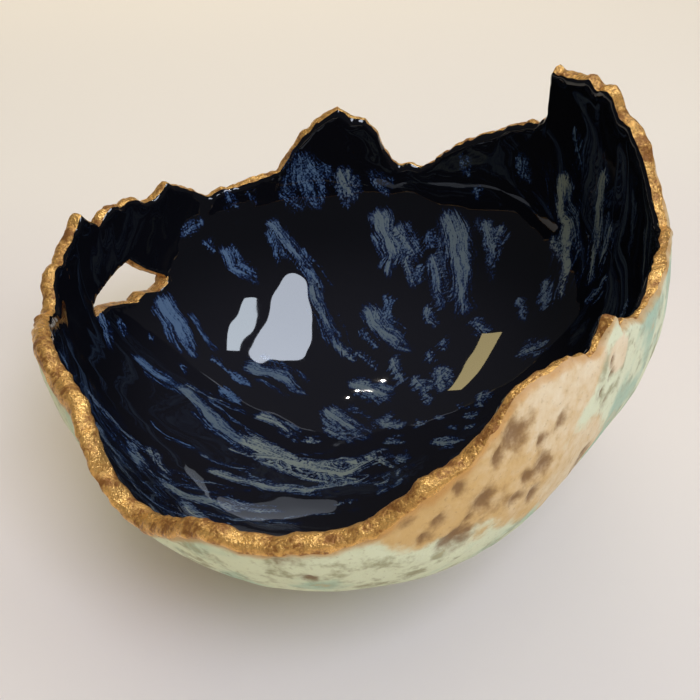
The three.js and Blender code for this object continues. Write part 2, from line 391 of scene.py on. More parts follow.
# Settings of shader nodes that are used often: first input times second plus third, and a soft ramp.
WEIGHTED_SUM = {"operation": "MULTIPLY_ADD"}
SOFT_RAMP = {"interpolation_type": "SMOOTHSTEP"}


def linear(code):
    """An sRGB hex colour as linear red, green and blue."""
    parts = [int(code[i:i + 2], 16) / 255 for i in (1, 3, 5)]
    return [p / 12.92 if p <= 0.04045 else ((p + 0.055) / 1.055) ** 2.4 for p in parts]


def length(name, description, default):
    """A size that a user can change, in metres."""
    return bpy.props.FloatProperty(
        name=name, description=description, default=default, min=0, unit="LENGTH", precision=4
    )


def colour(name, description, code):
    """A colour that a user can change, from its sRGB hex value."""
    return bpy.props.FloatVectorProperty(
        name=name, description=description, default=linear(code), min=0, max=1, size=3, subtype="COLOR"
    )


def power(name, description, default):
    """A light's power that a user can change, in watts."""
    return bpy.props.FloatProperty(
        name=name, description=description, default=default, min=0, unit="POWER"
    )


class BowlSizes(bpy.types.PropertyGroup):
    """Driving sizes of the bowl, the same as the solid's."""

    belly_radius: length("Belly radius", "Outside radius where the bowl is widest", 0.127)
    belly_height: length("Belly height", "Level of the widest ring", 0.092)
    lower_depth: length("Lower depth", "From the belly down to the round bottom", 0.0948)
    upper_rise: length("Upper rise", "Half-height of the ellipse above the belly", 0.150)
    wall: length("Wall", "Thickness of the side", 0.007)
    floor: length("Floor", "Thickness at the round bottom", 0.011)
    lip_round: length("Lip round", "How far the lip stands over the wall's edges", 0.0026)
    crust: length("Crust", "Height of the gilded rim's crust", 0.0012)
    pit_depth: length("Pit depth", "Depth of the deepest pits in the slip", 0.0011)
    swell: length("Swell", "Height of the soft swells under the glaze", 0.00035)


class BowlColours(bpy.types.PropertyGroup):
    """Colours of the glaze, the gold and the slip."""

    glaze: colour("Glaze", "Black of the glossy glaze", "#0a0b10")
    # Lighter black of the glaze on the floor: a painted reflection of the room.
    glaze_floor_reflection: colour("Glaze floor", "Soft black of the thick glaze on the floor", "#1a1a1f")
    streak_deep: colour("Streak halo", "Deep blue round the streaks", "#101d3a")
    streak_edge: colour("Streak edge", "Blue of the streaks' fringes", "#22395f")
    streak_blue: colour("Streak blue", "Core of the small blue streaks", "#4f6a8a")
    streak_grey: colour("Streak grey", "Core of the dabs on the back wall", "#606d72")
    streak_green: colour("Streak green", "Core of the broad grey green streaks", "#7f887f")
    gold: colour("Gold", "Fired gold lustre", "#ecb868")
    # Worn gold: thin gold over brown clay in patches, also laid in the grit's hollows as painted shade.
    gold_worn_and_hollow_shade: colour("Worn gold", "Thin gold over brown clay", "#8a5a26")
    slip_green: colour("Slip green", "Pale green slip", "#d1d8bb")
    slip_teal: colour("Slip teal", "Stain in the green slip", "#98b8a5")
    slip_olive: colour("Slip olive", "Olive stain in the green slip", "#8c8a68")
    slip_cream: colour("Slip cream", "Cream slip", "#ded2b6")
    slip_tan: colour("Slip tan", "Tan slip", "#c6a56c")
    pit_brown: colour("Pit brown", "Bare clay in the pits", "#6f4f2e")
    rim_stain: colour("Rim stain", "Orange brown stain under the gold", "#b98744")


class StageSettings(bpy.types.PropertyGroup):
    """The plain studio stage."""

    front: colour("Front", "Pale front of the floor", "#dcd7d2")
    back: colour("Back", "Cream back of the floor", "#e3dfd7")
    line: length("Line", "How far behind the bowl the floor turns cream", 0.235)
    key: power("Key", "Power of the cool soft light at the front right", 25)
    fill: power("Fill", "Power of the warm low light at the front", 9)
    back_fill: power("Back fill", "Power of the warm low light behind", 38)
    side: power("Side", "Power of the soft light at the right", 9)
    top: power("Top", "Power of the broad light overhead", 9)


def belly(sizes, angle):
    """Outside radius of the belly in each direction, with the lobes of the plan."""
    share = 1.0
    for lobes, cosine, sine in PLAN_LOBES:
        share = share + cosine * np.cos(lobes * angle) + sine * np.sin(lobes * angle)
    return sizes.belly_radius * share


def pinch(angle, height):
    """How far the wall is pushed in or out by hand."""
    push = 0.0
    for waves, turn, depth in PINCH_WAVES:
        push = push + depth * MM * np.sin(waves * angle + turn * height / MM)
    return push


def climb_to(sizes, height):
    """Angle up the body's ellipse, from the round bottom, at which the outside reaches a height."""
    rise = np.where(height < sizes.belly_height, sizes.lower_depth, sizes.upper_rise)
    return np.arccos((sizes.belly_height - height) / rise)


def wall_point(sizes, angle, climb, depth, lean=0.0):
    """Points of the wall: direction, angle up the ellipse, depth in from the outside as a share of the
    thickness, and how far the wall leans out."""
    rise = np.where(climb < math.pi / 2, sizes.lower_depth, sizes.upper_rise)
    down = np.cos(climb)
    thickness = depth * (sizes.wall + (sizes.floor - sizes.wall) * np.maximum(down, 0) ** 2)
    height = sizes.belly_height - (rise - thickness) * down
    out = belly(sizes, angle) - thickness + pinch(angle, height) + lean
    radius = out * np.sin(climb)
    return np.stack([radius * np.cos(angle), radius * np.sin(angle), height], axis=-1)


def lumps(points, layers):
    """Smooth random swells at an array of points, summed from layers of a height and a size across."""
    total = np.zeros(points.shape[:-1])
    for height, size in layers:
        flat = (points.reshape(-1, 3) / size).tolist()
        total += height * np.reshape([noise.noise(p) for p in flat], total.shape)
    return total


def rim_columns(sizes):
    """Angle, climb and lean of the torn edge, in columns evenly spaced along it."""
    degrees, heights, leans = np.array([(*row, 0)[:3] for row in RIM]).T
    around = np.radians(degrees) * sizes.belly_radius
    steps = np.hypot(np.diff(around), np.diff(heights * MM))
    run = np.concatenate([[0], np.cumsum(steps)])
    at = np.linspace(0, run[-1], COLUMNS + 1)
    angle = np.interp(at, run, around) / sizes.belly_radius
    height = np.interp(at, run, heights) * MM
    edge = np.stack([np.cos(angle), np.sin(angle), 0 * angle], axis=-1) * sizes.belly_radius
    edge[:, 2] = height
    lean = np.interp(at, run, leans) * MM
    return angle, climb_to(sizes, height - sizes.lip_round), lean, edge


def sheet_points(sizes):
    """Where each row and column of the rolled-up clay sheet stands, with each point's distance past the
    gold: below 0 outside, 0 on the gold, above 0 inside."""
    angle, climb, lean, edge = rim_columns(sizes)
    even = np.linspace(0, 2 * math.pi, COLUMNS + 1)
    foot = float(climb_to(sizes, 0.0))
    mean_radius = (sizes.belly_radius + sizes.lower_depth) / 2
    outside_run = mean_radius * (climb - foot)
    inside_run = mean_radius * climb
    half_lip = math.pi / 2 * math.hypot(sizes.wall / 2, sizes.lip_round) / math.sqrt(2)
    degrees, reach_out, reach_in = np.array(GOLD_REACH).T
    wander = lumps(edge, GOLD_WANDER)
    gold_out = np.interp(np.degrees(angle), degrees, reach_out) * MM + WANDER_OUTSIDE * wander
    gold_in = np.interp(np.degrees(angle), degrees, reach_in) * MM + WANDER_INSIDE * wander[::-1]

    # Runs along the profile, counted from the lip's crown: below 0 outside, above 0 inside.
    up = np.linspace(0, 1, OUTSIDE_ROWS + 1)[:, None]
    over = np.linspace(0, 1, GOLD_ROWS + 1)[1:-1, None]
    in_and_down = np.linspace(0, 1, INSIDE_ROWS + 1)[:, None]
    runs = np.concatenate([
        -(gold_out + (outside_run + half_lip - gold_out) * (1 - up) ** OUTSIDE_CROWDING),
        -gold_out + (gold_in + gold_out) * over,
        gold_in + (inside_run + half_lip - gold_in) * in_and_down ** INSIDE_CROWDING,
    ])
    past_gold = np.minimum(runs + gold_out, 0) + np.maximum(runs - gold_in, 0)

    share_out = np.clip(1 + (runs + half_lip) / outside_run, 0, 1)
    share_in = np.clip(1 - (runs - half_lip) / inside_run, 0, 1)
    turned_out = even + (angle - even) * share_out ** 2
    turned_in = even + (angle - even) * share_in ** 2
    outside = wall_point(sizes, turned_out, foot + (climb - foot) * share_out, 0, lean * share_out ** 3)
    inside = wall_point(sizes, turned_in, climb * share_in, 1, lean * share_in ** 3)
    upward = wall_point(sizes, angle, climb + SMALL_CLIMB, 0.5) - wall_point(sizes, angle, climb, 0.5)
    upward /= np.linalg.norm(upward, axis=-1, keepdims=True)
    turn = np.clip((runs / half_lip + 1) * math.pi / 2, 0, math.pi)[..., None]
    lip = outside + (inside - outside) * (1 - np.cos(turn)) / 2 + upward * sizes.lip_round * np.sin(turn)
    points = np.where((runs < -half_lip)[..., None], outside, lip)
    points = np.where((runs > half_lip)[..., None], inside, points)

    # Crumbs of the torn edge, which fade out down both faces of the wall.
    crumbs = sizes.crust * lumps(edge, CRUMB_LUMPS)
    points = points + (upward * crumbs[:, None]) * np.exp(-np.abs(runs) / CRUMB_FADE)[..., None]
    foot_middle = np.zeros((1, COLUMNS + 1, 3))
    return np.concatenate([foot_middle, points]), np.concatenate([past_gold[:1], past_gold])


def outward(points):
    """Directions out of the wall at each row and column of the sheet."""
    around = np.roll(points[:, :-1], -1, axis=1) - np.roll(points[:, :-1], 1, axis=1)
    around = np.concatenate([around, around[:, :1]], axis=1)
    along = np.gradient(points, axis=0)
    normal = np.cross(around, along)
    return normal / np.maximum(np.linalg.norm(normal, axis=-1, keepdims=True), 1e-12)


def hidden_spots(sizes, count, seed):
    """Random places on the sides that the picture doesn't show: points and a number from 0 to 1."""
    dice = random.Random(seed)
    angles = np.radians([dice.uniform(*HIDDEN_DEGREES) for _ in range(count)])
    heights = np.array([dice.uniform(*HIDDEN_HEIGHTS) for _ in range(count)])
    return wall_point(sizes, angles, climb_to(sizes, heights), 0), [dice.random() for _ in range(count)]


def dents(points, spots, radii):
    """How deep each point lies in ragged dents, and how near it is to them, as shares from 0 to 1."""
    deep = np.zeros(points.shape[:-1])
    near = np.zeros(points.shape[:-1])
    ragged = 1 + lumps(points, PIT_LUMPS)
    for spot, radius in zip(spots, radii):
        away = np.linalg.norm(points - np.array(spot), axis=-1) / radius * ragged
        deep = np.maximum(deep, np.clip(1 - away ** 2, 0, 1) ** PIT_STEEPNESS)
        near = np.maximum(near, np.exp(-(away ** 2)))
    return deep, near


def picture_ray(pixel):
    """The camera's place, and the direction in which it sees a pixel of the picture."""
    tilt = math.radians(CAMERA_HEIGHT_DEGREES)
    back = Vector((0, -math.cos(tilt), math.sin(tilt)))
    up = Vector((0, math.sin(tilt), math.cos(tilt)))
    across = (pixel[0] - PICTURE_SIDE / 2) / FOCAL_PIXELS
    rise = (PICTURE_SIDE / 2 - pixel[1]) / FOCAL_PIXELS
    sight = Vector((1, 0, 0)) * across + up * rise - back
    return CAMERA_AIM + back * CAMERA_DISTANCE, sight.normalized()


def seen_point(tree, pixel):
    """The point of the bowl that is seen at a pixel, and its normal, by the bowl's tree of faces."""
    place, normal, _, _ = tree.ray_cast(*picture_ray(pixel))
    if place is None:
        raise RuntimeError(f"nothing of the bowl is seen at pixel {pixel}")
    return place, normal


def mirrored_sight(tree, pixel):
    """The point of the bowl that is seen at a pixel, and the direction in which it mirrors the sight, by
    the mean normal of the patch around it."""
    steps = (-MIRROR_PATCH, 0, MIRROR_PATCH)
    normal = Vector()
    for across in steps:
        for down in steps:
            normal += seen_point(tree, (pixel[0] + across, pixel[1] + down))[1]
    normal.normalize()
    sight = picture_ray(pixel)[1]
    return seen_point(tree, pixel)[0], sight - 2 * sight.dot(normal) * normal


def rolled_sheet(sizes, tree):
    """A flat grid rolled up into the bowl's wall, closed at its seam and its two middles."""
    points, past_gold = sheet_points(sizes)
    pits = [(seen_point(tree, (x, y))[0], radius * PIT_SPREAD * MM) for x, y, radius in PITS_SEEN]
    smallest, largest = HIDDEN_PIT_RADII
    for spot, number in zip(*hidden_spots(sizes, HIDDEN_PITS, PIT_SEED)):
        pits.append((spot, (smallest + (largest - smallest) * number ** 2) * MM))

    on_outside = np.clip(-past_gold / SLIP_RISE, 0, 1)
    on_inside = np.clip(past_gold / GLAZE_RISE, 0, 1)
    on_lip = np.where(past_gold > 0, np.clip(1 - past_gold / LIP_FADE, 0, 1), 0)
    off_gold = np.where(past_gold < 0, -past_gold / CRUST_FADE_OUTSIDE, past_gold / CRUST_FADE_INSIDE)
    on_gold = np.clip(1 - off_gold, 0, 1)
    off_foot = np.clip(points[..., 2] / FOOT_RISE, 0, 1)
    pit, near_pit = (share * on_outside for share in dents(points, *zip(*pits)))
    crust = sizes.crust * lumps(points, CRUST_LUMPS)
    swell = sizes.swell * lumps(points, SWELL_LUMPS)
    # The slip only sinks below the solid's face and never stands over it.
    uneven = -sum(height for height, _ in SLIP_LUMPS) - lumps(points, SLIP_LUMPS)
    relief = on_gold * crust + on_lip * lumps(points, LIP_LUMPS) + on_inside * swell
    relief = relief + on_outside * off_foot * (uneven - sizes.pit_depth * pit)
    points = points + outward(points) * relief[..., None]
    points = np.clip(points, np.array(CAD_BOX[0]), np.array(CAD_BOX[1]))

    bm = bmesh.new()
    rows = len(points) - 1
    bmesh.ops.create_grid(bm, x_segments=COLUMNS, y_segments=rows, size=1)
    gold_layer = bm.verts.layers.float.new("past_gold")
    pit_layer = bm.verts.layers.float.new("near_pit")
    for vert in bm.verts:
        column = round((vert.co.x + 1) / 2 * COLUMNS)
        row = round((vert.co.y + 1) / 2 * rows)
        vert.co = points[row, column]
        vert[gold_layer] = past_gold[row, column]
        vert[pit_layer] = near_pit[row, column]
    for face in bm.faces:
        past = sum(vert[gold_layer] for vert in face.verts)
        face.material_index = GOLD if past == 0 else GLAZE if past > 0 else SLIP
        face.smooth = True
    bmesh.ops.remove_doubles(bm, verts=bm.verts, dist=1e-6)
    bmesh.ops.recalc_face_normals(bm, faces=bm.faces)
    return bm


def opening_axes():
    """Along the wall, up and outward at the opening."""
    turn = math.radians(OPENING_TURN)
    dip = math.radians(OPENING_DIP)
    along = Vector((-math.sin(turn), math.cos(turn), 0))
    out = Vector((math.cos(turn) * math.cos(dip), math.sin(turn) * math.cos(dip), -math.sin(dip)))
    return along, out.cross(along), out


def outline_gap(x, y):
    """Whether a flat point is inside the opening's outline, and the step from it to the outline."""
    here = Vector((x, y))
    inside = False
    best = None
    for start, end in zip(OPENING_OUTLINE, OPENING_OUTLINE[1:] + OPENING_OUTLINE[:1]):
        a = Vector(start) * MM
        b = Vector(end) * MM
        if (a.y > y) != (b.y > y) and x < a.x + (y - a.y) / (b.y - a.y) * (b.x - a.x):
            inside = not inside
        share = max(0, min(1, (here - a).dot(b - a) / (b - a).length_squared))
        step = a + (b - a) * share - here
        if best is None or step.length < best.length:
            best = step
    return inside, best


def cut_opening(bm):
    """Tears the opening through both faces of the wall, and rounds and gilds its edge."""
    along, up, out = opening_axes()

    def flat(place):
        away = place - OPENING_MIDDLE
        return away.dot(along), away.dot(up), away.dot(out)

    torn = []
    box = (*OPENING_HALF_BOX, OPENING_REACH)
    for face in bm.faces:
        x, y, z = flat(face.calc_center_median())
        in_box = all(abs(value) < half for value, half in zip((x, y, z), box))
        if in_box and outline_gap(x, y)[0]:
            torn.append(face)
    bmesh.ops.delete(bm, geom=torn, context="FACES")
    bm.normal_update()
    verts = [vert for vert in bm.verts if vert.is_boundary]
    for vert in verts:
        x, y, _ = flat(vert.co)
        step = outline_gap(x, y)[1]
        vert.co += along * step.x + up * step.y
    for outer in (False, True):
        loop = [vert for vert in verts if (vert.normal.dot(out) > 0) == outer]
        for corner in OPENING_OUTLINE:
            steps = [Vector(corner) * MM - Vector(flat(vert.co)[:2]) for vert in loop]
            step, vert = min(zip(steps, loop), key=lambda pair: pair[0].length)
            vert.co += along * step.x + up * step.y
    bmesh.ops.remove_doubles(bm, verts=verts, dist=OPENING_MERGE)

    edges = [edge for edge in bm.edges if edge.is_boundary]
    wall = set(bm.faces)
    bridge = bmesh.ops.bridge_loops(bm, edges=edges)
    split = bmesh.ops.subdivide_edges(bm, edges=bridge["edges"], cuts=OPENING_ROWS, use_grid_fill=True)
    for vert in {item for item in split["geom_inner"] if isinstance(item, bmesh.types.BMVert)}:
        x, y, _ = flat(vert.co)
        ripple = OPENING_ROUND * (0.5 + noise.noise(vert.co / OPENING_RIPPLE))
        push = Vector((-x, -y)).normalized() * ripple
        vert.co += along * push.x + up * push.y
    for face in set(bm.faces) - wall:
        face.material_index = GOLD
        face.smooth = True


def beside_line(line, places, normals):
    """How far each place is from a line on the surface, how far it lies along the line and to the side
    of it, and the line's whole length."""
    steps = np.diff(line, axis=0)
    lengths = np.linalg.norm(steps, axis=1)
    begins = np.cumsum(lengths) - lengths
    away = np.full(len(places), np.inf)
    along = np.zeros(len(places))
    across = np.zeros(len(places))
    for number, size in enumerate(lengths):
        ahead = steps[number] / size
        offset = places - line[number]
        offset = offset - np.einsum("ij,ij->i", offset, normals)[:, None] * normals
        run = offset @ ahead
        gap = np.linalg.norm(offset - np.clip(run, 0, size)[:, None] * ahead, axis=1)
        first = 0 if number else -np.inf
        last = size if number < len(lengths) - 1 else np.inf
        closer = gap < away
        away = np.where(closer, gap, away)
        along = np.where(closer, begins[number] + np.clip(run, first, last), along)
        across = np.where(closer, np.einsum("ij,ij->i", np.cross(normals, ahead), offset), across)
    return away, along, across, lengths.sum()


def streak_lines(sizes, tree):
    """All streaks of the glaze: points, width in mm, tone, strength, and whether the fibres follow it."""
    streaks = []
    for pixels, width, tone, strength in STREAKS:
        line = []
        for start, end in zip(pixels, pixels[1:]):
            for share in STREAK_STEPS:
                pixel = [a + (b - a) * share for a, b in zip(start, end)]
                line.append(seen_point(tree, pixel)[0])
        line.append(seen_point(tree, pixels[-1])[0])
        streaks.append((np.array(line), width, tone, strength, True))
    dice = random.Random(STREAK_SEED)
    for line, width, tone, strength, _ in list(streaks):
        middle = line.mean(0)
        side = np.cross(line[-1] - line[0], middle - BOWL_MIDDLE)
        side /= np.linalg.norm(side)
        for _ in range(STRANDS if np.linalg.norm(line[-1] - line[0]) > LONG_STREAK else 1):
            shift = side * dice.choice((-1, 1)) * dice.uniform(*STRAND_SHIFT) * width * MM
            slide = (line[-1] - line[0]) * dice.uniform(*STRAND_SLIDE)
            short = middle + (line - middle) * dice.uniform(*STRAND_LENGTH)
            faint = strength * dice.uniform(*STRAND_STRENGTH)
            streaks.append((short + shift + slide, width * STRAND_WIDTH, tone * STRAND_TONE, faint, False))
    steps = np.linspace(0, 1, HIDDEN_STREAK_POINTS)
    for _ in range(HIDDEN_STREAKS):
        angle = math.radians(dice.uniform(*HIDDEN_STREAK_DEGREES))
        climb = dice.uniform(*HIDDEN_STREAK_CLIMB)
        turn = dice.uniform(*HIDDEN_STREAK_TURN)
        drop = dice.uniform(*HIDDEN_STREAK_DROP)
        line = wall_point(sizes, angle + turn * steps, climb - drop * steps, 1)
        width = dice.uniform(*HIDDEN_STREAK_WIDTH)
        streaks.append((line, width, dice.random(), dice.uniform(*HIDDEN_STREAK_STRENGTH), True))
    return streaks


def at_points(mesh, name):
    """What each of a mesh's points has by that name, its place or its normal, as an array."""
    values = np.empty(len(mesh.vertices) * 3)
    mesh.vertices.foreach_get(name, values)
    return values.reshape(-1, 3)


def paint_streaks(mesh, sizes, tree):
    """Lays the glaze's streaks on the inside as attributes: how strong, how green, and the place along
    and across the nearest streak's fibres in mm, which are longer in a long streak and fan out to its
    tail, with a number from 0, a dab, to 1, a long stroke."""
    places = at_points(mesh, "co")
    normals = at_points(mesh, "normal")
    # The glaze ran before it set, so the streaks waver.
    swirls = [lumps(places + shift, SWIRL_LUMPS) for shift in SWIRL_SHIFTS]
    places = places + np.stack(swirls, axis=1)
    count = len(places)
    strong = np.zeros(count)
    green = np.zeros(count)
    flow = np.zeros((count, 3))
    nearest = np.full(count, np.inf)
    for line, width, tone, strength, leads in streak_lines(sizes, tree):
        half = width * MM / 2
        margin = 3 * half + STREAK_MARGIN
        box = (places > line.min(0) - margin) & (places < line.max(0) + margin)
        near = np.flatnonzero(np.all(box, axis=1))
        away, along, across, whole = beside_line(line, places[near], normals[near])
        share = np.clip(along / whole, 0, 1)
        stroke = np.clip((whole - DAB_LENGTH) / STROKE_GROWTH, 0, 1)
        taper = half * (HEAD_WIDTH - TAIL_NARROWING * share)
        tail = np.clip((share - FADE_START) / (1 - FADE_START), 0, 1)
        fade = 1 - TAIL_FADE * stroke * tail ** FADE_CURVE
        softness = DAB_SOFTNESS + STROKE_SOFTNESS * stroke
        painted = strength * fade * np.clip((EDGE_REACH - away / taper) / softness, 0, 1)
        wins = painted > strong[near]
        strong[near[wins]] = painted[wins]
        green[near[wins]] = tone
        if leads:
            wins = away / half < nearest[near]
            nearest[near[wins]] = (away / half)[wins]
            flow[near[wins], 0] = along[wins] * math.sqrt(FIBRE_RUN / whole) / MM
            fanned = np.maximum(1 + along / (FAN_LENGTHS * whole), FAN_LEAST)
            flow[near[wins], 1] = (across / fanned)[wins] / MM
            flow[near[wins], 2] = stroke
    store(mesh, "streak", "FLOAT", strong)
    store(mesh, "streak_green", "FLOAT", green)
    store(mesh, "streak_flow", "FLOAT_VECTOR", flow)


def paint_slip(mesh, sizes, tree):
    """Lays the cream parts of the slip on the outside as attributes: how cream, and how tan in it."""
    places = at_points(mesh, "co")
    patches = [(seen_point(tree, (x, y))[0], reach * MM, tan) for x, y, reach, tan in CREAM_SEEN]
    for degrees, height, reach, tan in CREAM_HIDDEN:
        climb = climb_to(sizes, height * MM)
        patches.append((wall_point(sizes, math.radians(degrees), climb, 0), reach * MM, tan))
    cream = np.zeros(len(places))
    shares = np.full(len(places), 1e-9)
    tans = np.zeros(len(places))
    for spot, reach, tan in patches:
        away = np.linalg.norm(places - np.array(spot), axis=1) / reach
        cream = np.maximum(cream, np.clip(CREAM_END - away, 0, 1))
        shares += np.exp(-away ** 2)
        tans += tan * np.exp(-away ** 2)
    store(mesh, "cream", "FLOAT", cream)
    store(mesh, "tan", "FLOAT", tans / shares)


def store(mesh, name, kind, values):
    """Keeps an array as an attribute of a mesh's points."""
    attribute = mesh.attributes.new(name, kind, "POINT")
    attribute.data.foreach_set("vector" if kind == "FLOAT_VECTOR" else "value", np.ravel(values))


def add(tree, kind, settings=None, inputs=None):
    """Adds a node with its settings, and links or sets its inputs."""
    node = tree.nodes.new(kind)
    for name, value in (settings or {}).items():
        setattr(node, name, value)
    for name, value in (inputs or {}).items():
        if isinstance(value, bpy.types.NodeSocket):
            tree.links.new(value, node.inputs[name])
        else:
            node.inputs[name].default_value = value
    return node


def fresh_material(name):
    """A material with one plain shader, its node tree and that shader."""
    material = bpy.data.materials.new(name)
    material.use_nodes = True
    return material, material.node_tree, material.node_tree.nodes["Principled BSDF"]


def rgba(value):
    """A linear colour with full alpha, for a socket."""
    return (*value, 1)


def laid_over(tree, under, paint, pattern, low, high, most=1.0):
    """One paint laid over another where a pattern goes from low to high, by the share most at the end:
    the socket of the result."""
    cover = add(tree, "ShaderNodeMapRange", SOFT_RAMP, {0: pattern, 1: low, 2: high, 3: 0.0, 4: most})
    under, paint = (p if isinstance(p, bpy.types.NodeSocket) else rgba(p) for p in (under, paint))
    layers = {0: cover.outputs[0], 6: under, 7: paint}
    return add(tree, "ShaderNodeMix", {"data_type": "RGBA"}, layers).outputs[2]


def glaze_material(colours):
    """Glossy stoneware glaze, poured and fired: a deep black with a wet shine, streaked where lighter
    glaze ran in it, each streak a bundle of fine fibres with a blue fringe."""
    material, tree, shader = fresh_material("black stoneware glaze")
    place = add(tree, "ShaderNodeTexCoord").outputs["Object"]
    streak = add(tree, "ShaderNodeAttribute", {"attribute_name": "streak"}).outputs["Fac"]
    green = add(tree, "ShaderNodeAttribute", {"attribute_name": "streak_green"}).outputs["Fac"]
    flow = add(tree, "ShaderNodeAttribute", {"attribute_name": "streak_flow"}).outputs["Vector"]

    # Fibres about 9 mm long and 0.7 mm wide, in locks four times as wide.
    thin = add(tree, "ShaderNodeMapping", None, {"Vector": flow, "Scale": (1 / 9, 1 / 0.7, 0)})
    fibres = add(tree, "ShaderNodeTexNoise", None,
                 {"Vector": thin.outputs[0], "Scale": 1.0, "Detail": 3.0, "Roughness": 0.6}).outputs["Fac"]
    wide = add(tree, "ShaderNodeMapping", None, {"Vector": flow, "Scale": (1 / 18, 1 / 2.8, 0)})
    locks = add(tree, "ShaderNodeTexNoise", None,
                {"Vector": wide.outputs[0], "Scale": 1.0, "Detail": 2.0}).outputs["Fac"]
    # Specks about 1 mm across where the lighter glaze boiled through, most of all in the short dabs.
    specks = add(tree, "ShaderNodeTexNoise", None,
                 {"Vector": place, "Scale": 1000 / 1.0, "Detail": 1.0}).outputs["Fac"]
    # Faint threads of blue, about 14 mm long and, 110 mm from the middle, 1.2 mm wide, that run down the
    # wall everywhere.
    parts = add(tree, "ShaderNodeSeparateXYZ", None, {0: place}).outputs
    height = parts["Z"]
    turn = add(tree, "ShaderNodeMath", {"operation": "ARCTAN2"}, {0: parts["X"], 1: parts["Y"]}).outputs[0]
    spread = add(tree, "ShaderNodeVectorMath", {"operation": "LENGTH"}, {0: place}).outputs["Value"]
    down = add(tree, "ShaderNodeCombineXYZ", None, {0: spread, 1: turn}).outputs[0]
    drawn = add(tree, "ShaderNodeMapping", None, {"Vector": down, "Scale": (1000 / 14, 110 / 1.2, 1)})
    threads = add(tree, "ShaderNodeTexNoise", None,
                  {"Vector": drawn.outputs[0], "Scale": 1.0, "Detail": 2.0}).outputs["Fac"]
    stroke = add(tree, "ShaderNodeSeparateXYZ", None, {0: flow}).outputs["Z"]
    drag = add(tree, "ShaderNodeMapRange", None, {0: stroke, 1: 0.0, 2: 1.0, 3: 0.8, 4: 1.9}).outputs[0]
    boil = add(tree, "ShaderNodeMapRange", None, {0: stroke, 1: 0.0, 2: 1.0, 3: 1.4, 4: 0.8}).outputs[0]
    ragged = 0.0
    for pattern, weight in ((fibres, drag), (locks, 1.15), (specks, boil), (threads, 0.7)):
        centred = add(tree, "ShaderNodeMath", {"operation": "SUBTRACT"}, {0: pattern, 1: 0.5}).outputs[0]
        ragged = add(tree, "ShaderNodeMath", WEIGHTED_SUM, {0: centred, 1: weight, 2: ragged}).outputs[0]
    # The pattern tears the streaks apart and barely shows in the black between them.
    torn = add(tree, "ShaderNodeMapRange", None, {0: streak, 1: 0.0, 2: 0.4, 3: 0.5, 4: 1.0}).outputs[0]
    dense = add(tree, "ShaderNodeMath", WEIGHTED_SUM, {0: ragged, 1: torn, 2: streak}).outputs[0]

    # The glaze turns a lighter black towards the floor, below about 60 mm: a painted reflection of the
    # room.
    ground = laid_over(tree, colours.glaze, colours.glaze_floor_reflection, height, 0.060, 0.020)
    dull = laid_over(tree, colours.streak_blue, colours.streak_grey, green, 0.0, 0.5)
    core = laid_over(tree, dull, colours.streak_green, green, 0.5, 1.0)
    halo = laid_over(tree, ground, colours.streak_deep, dense, 0.22, 0.62)
    fringe = laid_over(tree, halo, colours.streak_edge, dense, 0.46, 0.80)
    paint = laid_over(tree, fringe, core, dense, 0.52, 0.98)
    tree.links.new(paint, shader.inputs["Base Color"])

    # Orange-peel ripples about 14 mm across that bend the reflections.
    peel = add(tree, "ShaderNodeTexNoise", None, {"Vector": place, "Scale": 1000 / 14, "Detail": 0.0})
    bump = add(tree, "ShaderNodeBump", None,
               {"Strength": 0.25, "Distance": 0.0006, "Height": peel.outputs["Fac"]})
    tree.links.new(bump.outputs[0], shader.inputs["Normal"])
    shader.inputs["Roughness"].default_value = 0.02
    shader.inputs["IOR"].default_value = 1.5
    return material


def gold_material(colours):
    """Gold lustre brushed on a crusty clay edge and fired: bright warm metal on the bumps, worn brown in
    patches of wear, with painted shade laid as the same brown in the hollows of the grit, glittering."""
    material, tree, shader = fresh_material("fired gold lustre")
    place = add(tree, "ShaderNodeTexCoord").outputs["Object"]
    # Grit about 1.4 mm across, and wear in patches of about 7 mm.
    grit = add(tree, "ShaderNodeTexNoise", None,
               {"Vector": place, "Scale": 1000 / 1.4, "Detail": 3.0, "Roughness": 0.65}).outputs["Fac"]
    wear = add(tree, "ShaderNodeTexNoise", None,
               {"Vector": place, "Scale": 1000 / 7, "Detail": 3.0, "Roughness": 0.55}).outputs["Fac"]
    # The gold is laid darker, worn brown, where the grit is low: painted shade in its hollows, together
    # with real wear in patches of about 7 mm.
    wear_and_hollow_shade = add(tree, "ShaderNodeMath", WEIGHTED_SUM, {0: grit, 1: 0.7, 2: wear}).outputs[0]
    thin, thick = 0.66, 0.98
    paint = laid_over(tree, colours.gold_worn_and_hollow_shade, colours.gold, wear_and_hollow_shade, thin, thick)
    tree.links.new(paint, shader.inputs["Base Color"])
    metal = add(tree, "ShaderNodeMapRange", SOFT_RAMP, {0: wear_and_hollow_shade, 1: thin, 2: thick, 3: 0.4, 4: 0.7})
    tree.links.new(metal.outputs[0], shader.inputs["Metallic"])
    rough = add(tree, "ShaderNodeMapRange", None, {0: wear, 1: 0.35, 2: 0.65, 3: 0.5, 4: 0.24})
    tree.links.new(rough.outputs[0], shader.inputs["Roughness"])
    bump = add(tree, "ShaderNodeBump", None, {"Strength": 1.0, "Distance": 0.0008, "Height": grit})
    tree.links.new(bump.outputs[0], shader.inputs["Normal"])
    return material


